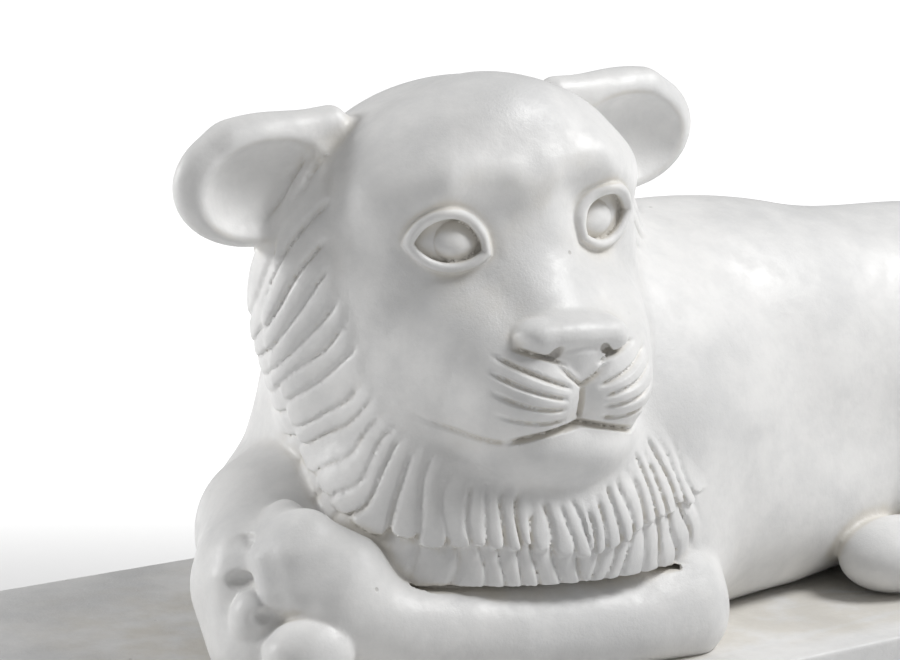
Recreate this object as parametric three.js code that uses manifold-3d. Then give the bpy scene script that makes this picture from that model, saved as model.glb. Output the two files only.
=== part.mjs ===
// Lion statue: a lion lying on a low plinth, the two carved from one block of white marble.
// Millimetres, +Z up, origin under the middle of the plinth. The lion lies along X with its rump at +X.
// Its head is turned to look towards -Y and its forelegs are crossed in front of the breast.
import * as THREE from "three";
import { ConvexGeometry } from "three/addons/geometries/ConvexGeometry.js";
import { mergeVertices } from "three/addons/utils/BufferGeometryUtils.js";
import createManifold from "manifold-3d";

// Driving dimensions
const LION_LENGTH = 860; // front of the paws to the back of the tail
const LION_WIDTH = 382; // tip of the muzzle to the far elbow
const LION_HEIGHT = 400; // top of the plinth to the top of the ears
const FRONT_MARGIN = 90; // bare plinth in front of the paws
const REAR_MARGIN = 50; // bare plinth behind the rump
const SIDE_MARGIN = 29; // bare plinth along each side
const PLINTH_HEIGHT = 70;
const PLINTH_CHAMFER = 4;

// The figure is laid out in parts: it is 860 parts long, 382 wide and 400 high, whatever its real size.
// x runs to the rump and is 0 at the middle of the plinth, y runs away from the viewer, z up from the plinth.
const PARTS = { front: -410, rear: 450, near: -191, far: 191, top: 400 };
const HEAD = { x: -184, y: -20, z: 232 }; // middle of the head
const HEAD_REACH = 290; // the head, the mane and the ears lie within this of its middle
const FACE_BACK = 10; // the shapes of the face lie well in front of this, from the middle of the head
const EAR_INSIDE = 20; // and the ears well outside this and above EAR_BELOW
const EAR_BELOW = -10;
const HIND_FRONT = 30; // the hind legs lie well behind this x, the forelegs well in front of it
const HEAD_ROLL = THREE.MathUtils.degToRad(2.4); // the head leans a little to its right
const FOOT_DEPTH = 16; // how far the figure goes into the plinth
const GRID = 5; // spacing of the samples, in parts
const BLOCK = 8; // samples along one side of a block
const DEEPEST_CARVING = 22; // how far the true skin can lie from what the middle of a block tells
const TRIANGLES = 9700; // left in the figure after it is simplified
const HEAD_CARE = 7; // how much more a deviation counts on the head than elsewhere
const CARE_REACH = 240; // as far as this from its middle
const CARE_ABOVE = 70; // and above this
const MOVE_LIMIT = 1.5; // merged points stay this near their middle, in lengths of the line between them
const SHORT_FIRST = 1e-4; // share of that length squared that makes short lines merge first
const TURN_LIMIT = 0.25; // cosine of how far a triangle may turn

// A shape is an egg or a limb, joined to the ones before it with a soft fillet, or cut out of them.
const egg = (at, radii, fillet = 0, tilt = 0) => ({ at, radii, fillet, turn: THREE.MathUtils.degToRad(tilt) });
const limb = (path, fillet = 0, flat = 1) => ({ path, fillet, flat });
const cut = (shape) => ({ ...shape, cut: true });

// Torso, haunches, hind feet and tail
const BODY = [
  egg([20, 20, 140], [270, 124, 142]), // ribs
  egg([-130, 5, 140], [170, 138, 150], 40), // chest
  egg([-215, 15, 95], [115, 105, 95], 35), // breast
  egg([-62, -38, 122], [140, 96, 124], 30), // near shoulder
  egg([-90, 98, 118], [130, 80, 120], 30), // far shoulder
  egg([262, 18, 132], [160, 114, 126], 50), // loin
  limb([[-190, 0, 200, 112], [-120, 25, 165, 124]], 40), // neck
  limb([[-80, -60, 58, 64], [70, -52, 58, 62], [200, -20, 58, 60]], 40), // lower flank
  egg([-172, 62, 212], [94, 84, 92], 14), // mane behind the head
];
const HIND_LEG = [
  egg([284, 70, 112], [122, 84, 126], 16, 14), // haunch
  limb([[330, 124, 40, 40], [232, 142, 30, 32], [170, 142, 26, 28]], 9), // hock and shank
  egg([140, 140, 26], [50, 36, 28], 8), // foot
];
const HIND_MIDDLE = 8; // the hind legs mirror about this y
const TAIL = [
  limb([[400, 10, 90, 28], [428, -60, 34, 22], [400, -132, 24, 19], [330, -164, 20, 18], [250, -167, 20, 17]], 8),
  egg([222, -163, 24], [44, 22, 26], 8), // tuft
];

// Forelegs: the far one passes in front of the breast, the near one lies across it
const FORELEGS = [
  limb([[-110, 134, 60, 57], [-270, 70, 70, 56], [-318, 0, 84, 54]], 14), // far forearm
  limb([[-318, -10, 84, 54], [-358, -58, 66, 50]], 14), // far wrist
  egg([-360, -86, 36], [50, 52, 42], 14), // far paw
  // near forearm
  limb([[-80, -148, 22, 32], [-225, -148, 35, 31], [-300, -134, 45, 32], [-340, -122, 62, 33]], 6),
  limb([[-80, -76, 130, 56], [-80, -108, 50, 46]], 40), // near upper arm
  limb([[-336, -112, 76, 38], [-352, -96, 92, 32]], 12), // near wrist
  limb([[-350, -100, 106, 19], [-362, -108, 94, 20], [-364, -116, 76, 20]], 6), // back of the near paw
  limb([[-370, -104, 97, 12], [-388, -86, 93, 12]], 4), // four toes, the upper ones first
  egg([-384, -108, 63], [20, 23, 25], 3, -20),
  egg([-370, -136, 42], [32, 24, 24], 4),
  cut(egg([-396, -100, 108], [12, 13, 8], 5)),
  cut(egg([-400, -106, 83], [12, 12, 7], 4)),
  cut(egg([-393, -126, 65], [9, 9, 7], 4)),
];

// Head: x to its left, y forward, z up, from the middle of the head. The two sides mirror.
const SKULL = [
  egg([0, 0, 68], [112, 96, 88]),
  egg([0, 50, 112], [64, 50, 53], 34), // forehead
  egg([50, 44, 84], [60, 48, 59], 30), // its bosses
];
const RUFF = [
  egg([0, -4, 15], [152, 76, 138]),
  egg([0, 14, -72], [126, 80, 88], 40),
];
const CHEEKS = [
  egg([58, 44, 6], [56, 50, 84], 30),
  egg([44, 66, -46], [58, 50, 54], 34),
  limb([[36, 76, -22, 55], [34, 112, -31, 40]], 26), // muzzle
  limb([[20, 94, 95, 12], [58, 87, 102, 12], [94, 60, 92, 10]], 26), // brow
  cut(egg([40, 117, 82], [22, 17, 18], 24)), // hollow above the inner corner of the eye
];
const BIB_SHAPES = [
  egg([10, 30, -118], [150, 114, 124]),
  egg([8, 62, -152], [146, 93, 66], 30),
];
const FACE = [
  limb([[0, 66, 72, 26], [0, 97, 32, 25], [0, 136, -4, 22]], 22, 0.62), // bridge of the nose, wide and flat
  cut(egg([66, 128, 20], [22, 20, 22], 24)), // hollow beside the muzzle
  egg([0, 104, -74], [66, 53, 34], 12), // chin
  egg([32, 129, -31], [41, 43, 33], 5, 10), // whisker pad
  egg([0, 146, 4], [35, 22, 14], 4), // nose
  egg([27, 148, 1], [14, 19, 13], 6), // its wing
  limb([[0, 153, -1, 14], [0, 160, -32, 4.5]], 2, 0.62), // its front
  // edge of the nose, from outside its wing to below its tip
  cut(limb([[42, 149, 8, 2], [40, 156, -4, 2.2], [30, 166, -12, 2.4], [18, 170, -16, 2.2], [6, 169, -32, 2.2]], 1.5)),
  cut(limb([[17, 172, -3, 3.6], [22, 169, -5, 4], [28, 165, -10, 2.6]], 1.5)), // nostril
  cut(limb([[0, 172, -30, 3.4], [0, 173, -50, 5]], 2)), // groove down to the mouth
  // mouth, from its middle outwards
  cut(limb([[0, 170, -52, 4.6], [12, 169, -58, 4], [24, 165, -63, 3.6], [38, 156, -67, 3.4], [56, 138, -68, 2]], 1.5)),
  cut(limb([[58, 136, -67, 1.6], [80, 116, -55, 2.8]], 2)), // its corner
];
const EAR = [
  egg([148, -6, 104], [62, 22, 44]),
  limb([[92, -4, 136, 13], [168, -4, 133, 12]], 10), // its upper edge
  cut(egg([146, 16, 97], [51, 26, 35], 7)), // its hollow
];
const RUFF_FILLET = 16;
const BIB_FILLET = 4;
const NECK_FILLET = 6;
const EAR_FILLET = 8;
const MIDLINE = 9; // the two halves of the skull run into each other over about this width

// Mane: two tiers of flat locks. Each line gives the angle from straight below the chin, in degrees, and how far
// along the ruff the face ends, the inner tier ends and the outer tier ends.
const TIERS = [
  [0, 100, 137, 250],
  [16, 96, 134, 250],
  [33, 75, 124, 230],
  [52, 38, 118, 200],
  [68, 20, 100, 150],
  [82, 20, 94, 124],
  [95, 30, 94, 122],
  [110, 45, 96, 122],
  [126, 62, 99, 120],
  [135, 81, 98, 112],
  [150, 90, 98, 105],
  [180, 90, 98, 105],
];
const RUFF_LEVEL = 10; // height that the angles of the mane are taken from
const RUFF_TURN = [15, 80]; // between these angles the ruff turns from facing down to facing sideways
const RUFF_ROUND = 0.35; // at the sides the way along it counts the depth more and the width this much less
const LOCK_BELOW = 6; // degrees from one lock to the next below the chin
const LOCK_SIDE = 11.5; // the same at the sides
const WIDEN = [45, 75]; // they widen between these angles
const LEAN_BELOW = 0.12; // how far the locks sweep round, in degrees to a part outwards
const LEAN_SIDE = 0.5;
const SWEEP = [45, 100]; // the sweep grows between these angles
const TIP = 7; // length of the point of a lock
const TIP_EDGE = [-2, 2]; // the step at the end of a tier, across its edge
const ROOT = 10; // the locks rise from the face over this length
const LOCK_RISE = 3.4; // height of a lock above the gap beside it
const TIER_RISE = 5.5; // the inner tier stands out this much more at its edge
const OUTER_TIER = 2.8; // height of the outer tier
const CROWN = [132, 152]; // the mane fades out between these angles, on top of the head
// Cuts that end the bib
const BIB_CUT = { level: -163, slope: 0.1, side: [0.8, 0.6, 204], round: 2.5, inset: 3 };

// Eye: an almond between two arcs, seen along a line turned outwards from the face
const EYE = { x: 60, y: 96.5, z: 66.5, turn: THREE.MathUtils.degToRad(21.5) };
const EYE_OUTER = [30.7, 0.6];
const EYE_TOP = [-7.4, 18.3];
const EYE_INNER = [-26.2, -9.5];
const EYE_BOTTOM = [2.2, -18.5];
const EYE_REACH = 60; // nothing further from the eye is touched
const EYE_BACK = [-30, -18]; // the carving fades out between these depths behind the eye
// Skin round the lids, a little puffed up
const LID_SWELL = { rise: 1.2, from: 14, to: 2, fillet: 2, fade: 9 };
const LID = { radius: 4, inset: 0.6, rise: 0.8 }; // roll along the edge of the almond
const EYE_DEPTH = 4.8; // depth of the eyeball at the lids
const IRIS = { a: -3, v: -0.5, width: 15.5, height: 13.5, rise: 4.6 }; // its middle stands forward

const clamp = THREE.MathUtils.clamp;
const smooth = (low, high, x) => {
  const t = clamp((x - low) / (high - low), 0, 1);
  return t * t * (3 - 2 * t);
};

// Smaller of two distances, with a fillet where they are nearly the same
function join(a, b, fillet) {
  if (fillet === 0) return Math.min(a, b);
  const h = Math.max(fillet - Math.abs(a - b), 0) / fillet;
  return Math.min(a, b) - (h * h * fillet) / 4;
}

const carve = (a, b, fillet) => -join(-a, b, fillet);

function eggDistance(x, y, z, { at, radii, turn }) {
  let dx = x - at[0];
  const dy = y - at[1];
  let dz = z - at[2];
  if (turn !== 0) {
    const c = Math.cos(turn);
    const s = Math.sin(turn);
    [dx, dz] = [dx * c - dz * s, dx * s + dz * c];
  }
  const a = dx / radii[0];
  const b = dy / radii[1];
  const c = dz / radii[2];
  const k0 = Math.sqrt(a * a + b * b + c * c);
  const [u, v, w] = [a / radii[0], b / radii[1], c / radii[2]];
  return (k0 * (k0 - 1)) / (Math.sqrt(u * u + v * v + w * w) + 1e-9);
}

function limbDistance(x, y, z, { path, flat }) {
  let best = Infinity;
  const px = x * flat;
  for (let i = 1; i < path.length; i += 1) {
    const [ax, ay, az, ar] = path[i - 1];
    const [bx, by, bz, br] = path[i];
    const [ex, ey, ez] = [bx - ax, by - ay, bz - az];
    const t = clamp(((px - ax) * ex + (y - ay) * ey + (z - az) * ez) / (ex * ex + ey * ey + ez * ez), 0, 1);
    const [qx, qy, qz] = [px - ax - t * ex, y - ay - t * ey, z - az - t * ez];
    best = Math.min(best, Math.sqrt(qx * qx + qy * qy + qz * qz) - ar - (br - ar) * t);
  }
  return best;
}

// Distance to a list of shapes joined in order, beginning from d
function shapesDistance(x, y, z, shapes, d = Infinity) {
  for (const shape of shapes) {
    const e = shape.path ? limbDistance(x, y, z, shape) : eggDistance(x, y, z, shape);
    d = shape.cut ? carve(d, e, shape.fillet) : d === Infinity ? e : join(d, e, shape.fillet);
  }
  return d;
}

// Angle from straight below the chin and distance along the ruff away from the face
function alongRuff(x, y, z) {
  const level = z - RUFF_LEVEL;
  const angle = THREE.MathUtils.radToDeg(Math.atan2(Math.abs(x), -level));
  const side = smooth(...RUFF_TURN, angle);
  return [angle, Math.hypot(x, level) * (1 - RUFF_ROUND * side) - y * (0.1 + 0.65 * side)];
}

function tierEdges(angle) {
  let i = 1;
  while (i < TIERS.length - 1 && TIERS[i][0] < angle) i += 1;
  const t = clamp((angle - TIERS[i - 1][0]) / (TIERS[i][0] - TIERS[i - 1][0]), 0, 1);
  return [1, 2, 3].map((k) => TIERS[i - 1][k] + t * (TIERS[i][k] - TIERS[i - 1][k]));
}

// Number of locks from below the chin round to an angle: they widen from LOCK_BELOW to LOCK_SIDE on the way
function locksTo(angle) {
  const [from, to] = WIDEN;
  const middle = (LOCK_BELOW + LOCK_SIDE) / 2;
  const below = Math.min(angle, from) / LOCK_BELOW;
  const turn = clamp(angle - from, 0, to - from) / middle;
  return below + turn + Math.max(angle - to, 0) / LOCK_SIDE;
}

// Height of the carved hair over the ruff
function maneHeight(x, y, z) {
  const [angle, run] = alongRuff(x, y, z);
  const [faceEdge, innerEdge, outerEdge] = tierEdges(angle);
  const out = run - faceEdge;
  if (out < -3 || angle > CROWN[1]) return 0;
  const lean = LEAN_BELOW + (LEAN_SIDE - LEAN_BELOW) * smooth(...SWEEP, angle);
  const wave = 1.2 * Math.sin(out / 11 + angle / 14 + (x < 0 ? 0 : 7.3));
  const even = locksTo(angle + lean * out + wave) * (x < 0 ? 1 : -1);
  const lock = even + 0.2 * Math.sin(0.9 * even + 1) + 0.07 * Math.sin(2.3 * even + 2);
  const across = Math.abs(2 * (lock - Math.floor(lock)) - 1);
  const inner = 1 - smooth(...TIP_EDGE, run - innerEdge + TIP * across * across);
  const outer = 1 - smooth(...TIP_EDGE, run - outerEdge + TIP * across * across);
  const crest = LOCK_RISE * (1 - across ** 2) * smooth(0, ROOT, out);
  const innerHeight = 1 + TIER_RISE * smooth(0, 1, out / (innerEdge - faceEdge + 1)) + crest;
  const height = (OUTER_TIER + crest) * outer * (1 - inner) + innerHeight * inner;
  return height * (1 - smooth(...CROWN, angle)) * smooth(-1.5, 1.5, out);
}

// Centre and radius of the circle through three points
function arc([ax, ay], [bx, by], [cx, cy]) {
  const d = 2 * (ax * (by - cy) + bx * (cy - ay) + cx * (ay - by));
  const [a, b, c] = [ax * ax + ay * ay, bx * bx + by * by, cx * cx + cy * cy];
  const x = (a * (by - cy) + b * (cy - ay) + c * (ay - by)) / d;
  const y = (a * (cx - bx) + b * (ax - cx) + c * (bx - ax)) / d;
  return { x, y, radius: Math.hypot(ax - x, ay - y) };
}

const UPPER_LID = arc(EYE_OUTER, EYE_TOP, EYE_INNER);
const LOWER_LID = arc(EYE_OUTER, EYE_BOTTOM, EYE_INNER);

// Sinks the eyeball into the skin at distance d and lays the lids round it
function carveEye(x, y, z, d) {
  const [dx, dy, v] = [x - EYE.x, y - EYE.y, z - EYE.z];
  if (Math.hypot(dx, dy, v) > EYE_REACH) return d;
  const a = dx * Math.cos(EYE.turn) - dy * Math.sin(EYE.turn);
  const n = dx * Math.sin(EYE.turn) + dy * Math.cos(EYE.turn);
  const upper = Math.hypot(a - UPPER_LID.x, v - UPPER_LID.y) - UPPER_LID.radius;
  const lower = Math.hypot(a - LOWER_LID.x, v - LOWER_LID.y) - LOWER_LID.radius;
  const rim = Math.max(upper, lower);
  const front = smooth(...EYE_BACK, n);
  const skin = d + LID_SWELL.rise * smooth(LID_SWELL.from, LID_SWELL.to, Math.abs(rim)) * front;
  const iris = Math.max(1 - ((a - IRIS.a) / IRIS.width) ** 2 - ((v - IRIS.v) / IRIS.height) ** 2, 0);
  const deep = EYE_DEPTH - IRIS.rise * Math.sqrt(iris);
  const ball = rim < 0 ? skin + deep * front : skin;
  const lid = Math.hypot(rim + LID.inset, skin - LID.rise) - LID.radius + (1 - front) * LID_SWELL.fade;
  return join(ball, lid, LID_SWELL.fillet);
}

function headDistance(x, y, z) {
  const side = Math.abs(x);
  const even = Math.hypot(x, MIDLINE);
  const skull = join(shapesDistance(even, y, z, SKULL), shapesDistance(side, y, z, RUFF), RUFF_FILLET);
  const hair = maneHeight(x, y, z);
  let bib = shapesDistance(x, y, z, BIB_SHAPES) - hair + BIB_CUT.inset;
  bib = Math.max(bib, BIB_CUT.level - z - BIB_CUT.slope * x);
  const [sx, sz, reach] = BIB_CUT.side;
  bib = -join(-bib, sx * x + sz * z + reach, BIB_CUT.round);
  let d = join(shapesDistance(even, y, z, CHEEKS, skull) - hair, bib, BIB_FILLET);
  if (y > FACE_BACK) d = shapesDistance(side, y, z, FACE, d);
  d = carveEye(side, y, z, d);
  if (side < EAR_INSIDE || z < EAR_BELOW) return d;
  return join(d, shapesDistance(side, y, z, EAR), EAR_FILLET);
}

function figureDistance(x, y, z) {
  let d = shapesDistance(x, y, z, BODY);
  if (x > HIND_FRONT) {
    d = shapesDistance(x, HIND_MIDDLE + Math.abs(y - HIND_MIDDLE), z, HIND_LEG, d);
    d = shapesDistance(x, y, z, TAIL, d);
  } else {
    d = shapesDistance(x, y, z, FORELEGS, d);
  }
  const [hx, hy, hz] = [x - HEAD.x, HEAD.y - y, z - HEAD.z];
  if (hx * hx + hy * hy + hz * hz < HEAD_REACH * HEAD_REACH) {
    const c = Math.cos(HEAD_ROLL);
    const s = Math.sin(HEAD_ROLL);
    d = join(d, headDistance(hx * c + hz * s, hy, hz * c - hx * s), NECK_FILLET);
  }
  return Math.max(d, -FOOT_DEPTH - z);
}

// Samples the figure on a grid. Blocks far from its surface get one value.
function sampleFigure() {
  const pad = 3 * GRID;
  const low = [PARTS.front - 30, PARTS.near - 30, -FOOT_DEPTH - pad];
  const high = [PARTS.rear + 30, PARTS.far + 30, PARTS.top + 30];
  const blocks = low.map((v, k) => Math.ceil((high[k] - v) / (GRID * BLOCK)));
  const n = blocks.map((count) => count * BLOCK);
  const values = new Float32Array(n[0] * n[1] * n[2]);
  const reach = 0.75 * Math.sqrt(3) * GRID * BLOCK + DEEPEST_CARVING;
  const at = (k, i) => low[k] + i * GRID;
  for (let bi = 0; bi < blocks[0]; bi += 1) {
    for (let bj = 0; bj < blocks[1]; bj += 1) {
      for (let bk = 0; bk < blocks[2]; bk += 1) {
        const [i0, j0, k0] = [bi * BLOCK, bj * BLOCK, bk * BLOCK];
        const middle = (BLOCK - 1) / 2;
        const centre = figureDistance(at(0, i0 + middle), at(1, j0 + middle), at(2, k0 + middle));
        const far = Math.abs(centre) > reach;
        for (let i = i0; i < i0 + BLOCK; i += 1) {
          for (let j = j0; j < j0 + BLOCK; j += 1) {
            for (let k = k0; k < k0 + BLOCK; k += 1) {
              values[(i * n[1] + j) * n[2] + k] = far ? centre : figureDistance(at(0, i), at(1, j), at(2, k));
            }
          }
        }
      }
    }
  }
  return { values, n, low };
}

// For each way the eight corners of a cell can be inside or outside: true when either kind is in two pieces
function splitCells() {
  const pieces = (mask) => {
    let left = mask;
    let count = 0;
    while (left !== 0) {
      let part = left & -left;
      for (let pass = 0; pass < 8; pass += 1) {
        for (let c = 0; c < 8; c += 1) {
          if (part & (1 << c)) part |= mask & ((1 << (c ^ 1)) | (1 << (c ^ 2)) | (1 << (c ^ 4)));
        }
      }
      left &= ~part;
      count += 1;
    }
    return count;
  };
  return Array.from({ length: 256 }, (_, mask) => pieces(mask) > 1 || pieces(255 - mask) > 1);
}

// Fills corners until no cell holds two pieces of surface, so that one point per cell makes a closed skin
function cleanSamples({ values, n }) {
  const split = splitCells();
  const step = [n[1] * n[2], n[2], 1];
  const corner = [];
  for (let c = 0; c < 8; c += 1) corner.push((c & 1) * step[0] + ((c >> 1) & 1) * step[1] + (c >> 2) * step[2]);
  let changed = true;
  while (changed) {
    changed = false;
    for (let i = 0; i < n[0] - 1; i += 1) {
      for (let j = 0; j < n[1] - 1; j += 1) {
        for (let k = 0; k < n[2] - 1; k += 1) {
          const base = i * step[0] + j * step[1] + k;
          let mask = 0;
          for (let c = 0; c < 8; c += 1) if (values[base + corner[c]] < 0) mask |= 1 << c;
          if (split[mask]) {
            let pick = -1;
            for (let c = 0; c < 8; c += 1) {
              const v = values[base + corner[c]];
              if (v >= 0 && (pick < 0 || v < values[pick])) pick = base + corner[c];
            }
            values[pick] = -0.02 * GRID;
            changed = true;
          }
        }
      }
    }
  }
}

// One point in each cell that the surface crosses, one square for each grid line that it crosses
function skinOf({ values, n, low }) {
  const step = [n[1] * n[2], n[2], 1];
  const pointOf = new Int32Array(values.length).fill(-1);
  const points = [];
  const triangles = [];
  for (let i = 0; i < n[0] - 1; i += 1) {
    for (let j = 0; j < n[1] - 1; j += 1) {
      for (let k = 0; k < n[2] - 1; k += 1) {
        const base = i * step[0] + j * step[1] + k;
        const sum = [0, 0, 0];
        let count = 0;
        for (let c = 0; c < 8; c += 1) {
          for (let axis = 0; axis < 3; axis += 1) {
            if (c & (1 << axis)) continue;
            const offset = [c & 1, (c >> 1) & 1, c >> 2];
            const from = base + offset[0] * step[0] + offset[1] * step[1] + offset[2] * step[2];
            const [a, b] = [values[from], values[from + step[axis]]];
            if (a < 0 === b < 0) continue;
            offset[axis] += a / (a - b);
            sum[0] += offset[0];
            sum[1] += offset[1];
            sum[2] += offset[2];
            count += 1;
          }
        }
        if (count === 0) continue;
        pointOf[base] = points.length / 3;
        points.push(
          low[0] + (i + sum[0] / count) * GRID,
          low[1] + (j + sum[1] / count) * GRID,
          low[2] + (k + sum[2] / count) * GRID,
        );
      }
    }
  }
  for (let i = 1; i < n[0] - 1; i += 1) {
    for (let j = 1; j < n[1] - 1; j += 1) {
      for (let k = 1; k < n[2] - 1; k += 1) {
        const base = i * step[0] + j * step[1] + k;
        for (let axis = 0; axis < 3; axis += 1) {
          const inside = values[base] < 0;
          if (inside === values[base + step[axis]] < 0) continue;
          const [u, v] = [step[(axis + 1) % 3], step[(axis + 2) % 3]];
          const ring = [base, base - u, base - u - v, base - v].map((cell) => pointOf[cell]);
          if (!inside) ring.reverse();
          triangles.push(ring[0], ring[1], ring[2], ring[0], ring[2], ring[3]);
        }
      }
    }
  }
  return { points, triangles };
}

// Squared distance to a plane, as the ten numbers of a symmetric form
function addPlane(forms, at, a, b, c, d, weight) {
  const p = [a * a, a * b, a * c, a * d, b * b, b * c, b * d, c * c, c * d, d * d];
  for (let i = 0; i < 10; i += 1) forms[at * 10 + i] += p[i] * weight;
}

function formAt(q, x, y, z) {
  return (
    q[0] * x * x + 2 * q[1] * x * y + 2 * q[2] * x * z + 2 * q[3] * x + q[4] * y * y +
    2 * q[5] * y * z + 2 * q[6] * y + q[7] * z * z + 2 * q[8] * z + q[9]
  );
}

// Point where the form is least, or null where it has no clear least point
function leastPoint(q) {
  const [a, b, c, d, e, f, g, h, i] = q;
  const det = a * (e * h - f * f) - b * (b * h - f * c) + c * (b * f - e * c);
  if (Math.abs(det) < 1e-3 * Math.abs(a * e * h) + 1e-12) return null;
  const x = -(d * (e * h - f * f) - b * (g * h - f * i) + c * (g * f - e * i)) / det;
  const y = -(a * (g * h - i * f) - d * (b * h - f * c) + c * (b * i - g * c)) / det;
  const z = -(a * (e * i - f * g) - b * (b * i - g * c) + d * (b * f - e * c)) / det;
  return [x, y, z];
}

// Queue that gives back the entry with the lowest cost first
class Queue {
  constructor() {
    this.items = [];
  }

  push(item) {
    const { items } = this;
    let i = items.length;
    items.push(item);
    while (i > 0) {
      const up = (i - 1) >> 1;
      if (items[up][0] <= item[0]) break;
      items[i] = items[up];
      i = up;
    }
    items[i] = item;
  }

  pop() {
    const { items } = this;
    const first = items[0];
    const last = items.pop();
    const size = items.length;
    if (size === 0) return first;
    let i = 0;
    for (;;) {
      let next = 2 * i + 1;
      if (next >= size) break;
      if (next + 1 < size && items[next + 1][0] < items[next][0]) next += 1;
      if (items[next][0] >= last[0]) break;
      items[i] = items[next];
      i = next;
    }
    items[i] = last;
    return first;
  }
}

// Merges neighbouring points, cheapest first, until few enough triangles are left. The skin stays closed:
// two points merge only when they share exactly two neighbours, and no triangle may turn over.
function simplify({ points, triangles }, target) {
  const count = points.length / 3;
  const faces = Int32Array.from(triangles);
  const forms = new Float64Array(count * 10);
  const around = Array.from({ length: count }, () => []);
  const stamp = new Int32Array(count);
  const normal = (a, b, c) => {
    const [ux, uy, uz] = [b[0] - a[0], b[1] - a[1], b[2] - a[2]];
    const [vx, vy, vz] = [c[0] - a[0], c[1] - a[1], c[2] - a[2]];
    return [uy * vz - uz * vy, uz * vx - ux * vz, ux * vy - uy * vx];
  };
  const point = (i) => [points[3 * i], points[3 * i + 1], points[3 * i + 2]];
  for (let f = 0; f < faces.length; f += 3) {
    const corners = [faces[f], faces[f + 1], faces[f + 2]];
    const [a, b, c] = corners.map(point);
    const m = normal(a, b, c);
    const twice = Math.hypot(...m);
    for (const i of corners) around[i].push(f);
    if (twice < 1e-9) continue;
    const [x, y, z] = m.map((v) => v / twice);
    const fromHead = Math.hypot(a[0] - HEAD.x, a[1] - HEAD.y, a[2] - HEAD.z);
    const care = fromHead < CARE_REACH && a[2] > CARE_ABOVE ? HEAD_CARE : 1;
    for (const i of corners) addPlane(forms, i, x, y, z, -(x * a[0] + y * a[1] + z * a[2]), twice * care);
  }
  const neighbours = (i) => {
    const set = new Set();
    for (const f of around[i]) for (let k = 0; k < 3; k += 1) if (faces[f + k] !== i) set.add(faces[f + k]);
    return set;
  };
  const queue = new Queue();
  const offer = (i, j) => {
    const q = new Array(10);
    for (let k = 0; k < 10; k += 1) q[k] = forms[i * 10 + k] + forms[j * 10 + k];
    const [a, b] = [point(i), point(j)];
    const middle = a.map((v, k) => (v + b[k]) / 2);
    const length = Math.hypot(a[0] - b[0], a[1] - b[1], a[2] - b[2]);
    let best = leastPoint(q);
    if (!best || Math.hypot(best[0] - middle[0], best[1] - middle[1], best[2] - middle[2]) > MOVE_LIMIT * length) {
      const cost = (p) => formAt(q, ...p);
      best = [a, b, middle].reduce((x, y) => (cost(y) < cost(x) ? y : x));
    }
    queue.push([Math.max(formAt(q, ...best), 0) + SHORT_FIRST * length * length, i, j, stamp[i] + stamp[j], best]);
  };
  for (let i = 0; i < count; i += 1) for (const j of neighbours(i)) if (i < j) offer(i, j);
  let left = faces.length / 3;
  while (left > target && queue.items.length > 0) {
    const [, i, j, age, best] = queue.pop();
    if (around[i].length === 0 || around[j].length === 0 || stamp[i] + stamp[j] !== age) continue;
    const [ni, nj] = [neighbours(i), neighbours(j)];
    let shared = 0;
    for (const v of ni) if (nj.has(v)) shared += 1;
    if (shared !== 2 || !ni.has(j)) continue;
    const turns = (own, other) => around[own].some((f) => {
      const corners = [faces[f], faces[f + 1], faces[f + 2]];
      if (corners.includes(other)) return false;
      const before = normal(...corners.map(point));
      const after = normal(...corners.map((v) => (v === own ? best : point(v))));
      const dot = before[0] * after[0] + before[1] * after[1] + before[2] * after[2];
      return dot < TURN_LIMIT * Math.hypot(...before) * Math.hypot(...after) + 1e-9;
    });
    if (turns(i, j) || turns(j, i)) continue;
    for (let k = 0; k < 10; k += 1) forms[i * 10 + k] += forms[j * 10 + k];
    for (const f of around[j]) {
      const corners = [faces[f], faces[f + 1], faces[f + 2]];
      if (corners.includes(i)) {
        for (const v of corners) if (v !== j) around[v].splice(around[v].indexOf(f), 1);
        left -= 1;
      } else {
        faces[f + corners.indexOf(j)] = i;
        around[i].push(f);
      }
    }
    around[j] = [];
    for (let k = 0; k < 3; k += 1) points[3 * i + k] = best[k];
    stamp[i] += count;
    for (const v of neighbours(i)) offer(i, v);
  }
  const kept = new Set(around.flat());
  const order = [...kept].sort((a, b) => a - b);
  return { points, triangles: order.flatMap((f) => [faces[f], faces[f + 1], faces[f + 2]]) };
}

// Brings the figure from parts to its real size, standing on the plinth
function placeFigure({ points, triangles }) {
  const used = new Map();
  const index = triangles.map((v) => {
    if (!used.has(v)) used.set(v, used.size);
    return used.get(v);
  });
  const flat = [...used.keys()].flatMap((v) => points.slice(3 * v, 3 * v + 3));
  let [front, rear, near, far, top] = [Infinity, -Infinity, Infinity, -Infinity, -Infinity];
  for (let i = 0; i < flat.length; i += 3) {
    front = Math.min(front, flat[i]);
    rear = Math.max(rear, flat[i]);
    near = Math.min(near, flat[i + 1]);
    far = Math.max(far, flat[i + 1]);
    top = Math.max(top, flat[i + 2]);
  }
  const plinthLength = LION_LENGTH + FRONT_MARGIN + REAR_MARGIN;
  for (let i = 0; i < flat.length; i += 3) {
    flat[i] = ((flat[i] - front) / (rear - front)) * LION_LENGTH - plinthLength / 2 + FRONT_MARGIN;
    flat[i + 1] = ((flat[i + 1] - near) / (far - near) - 0.5) * LION_WIDTH;
    flat[i + 2] = (flat[i + 2] / top) * LION_HEIGHT + PLINTH_HEIGHT;
  }
  return { flat, index };
}

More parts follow.
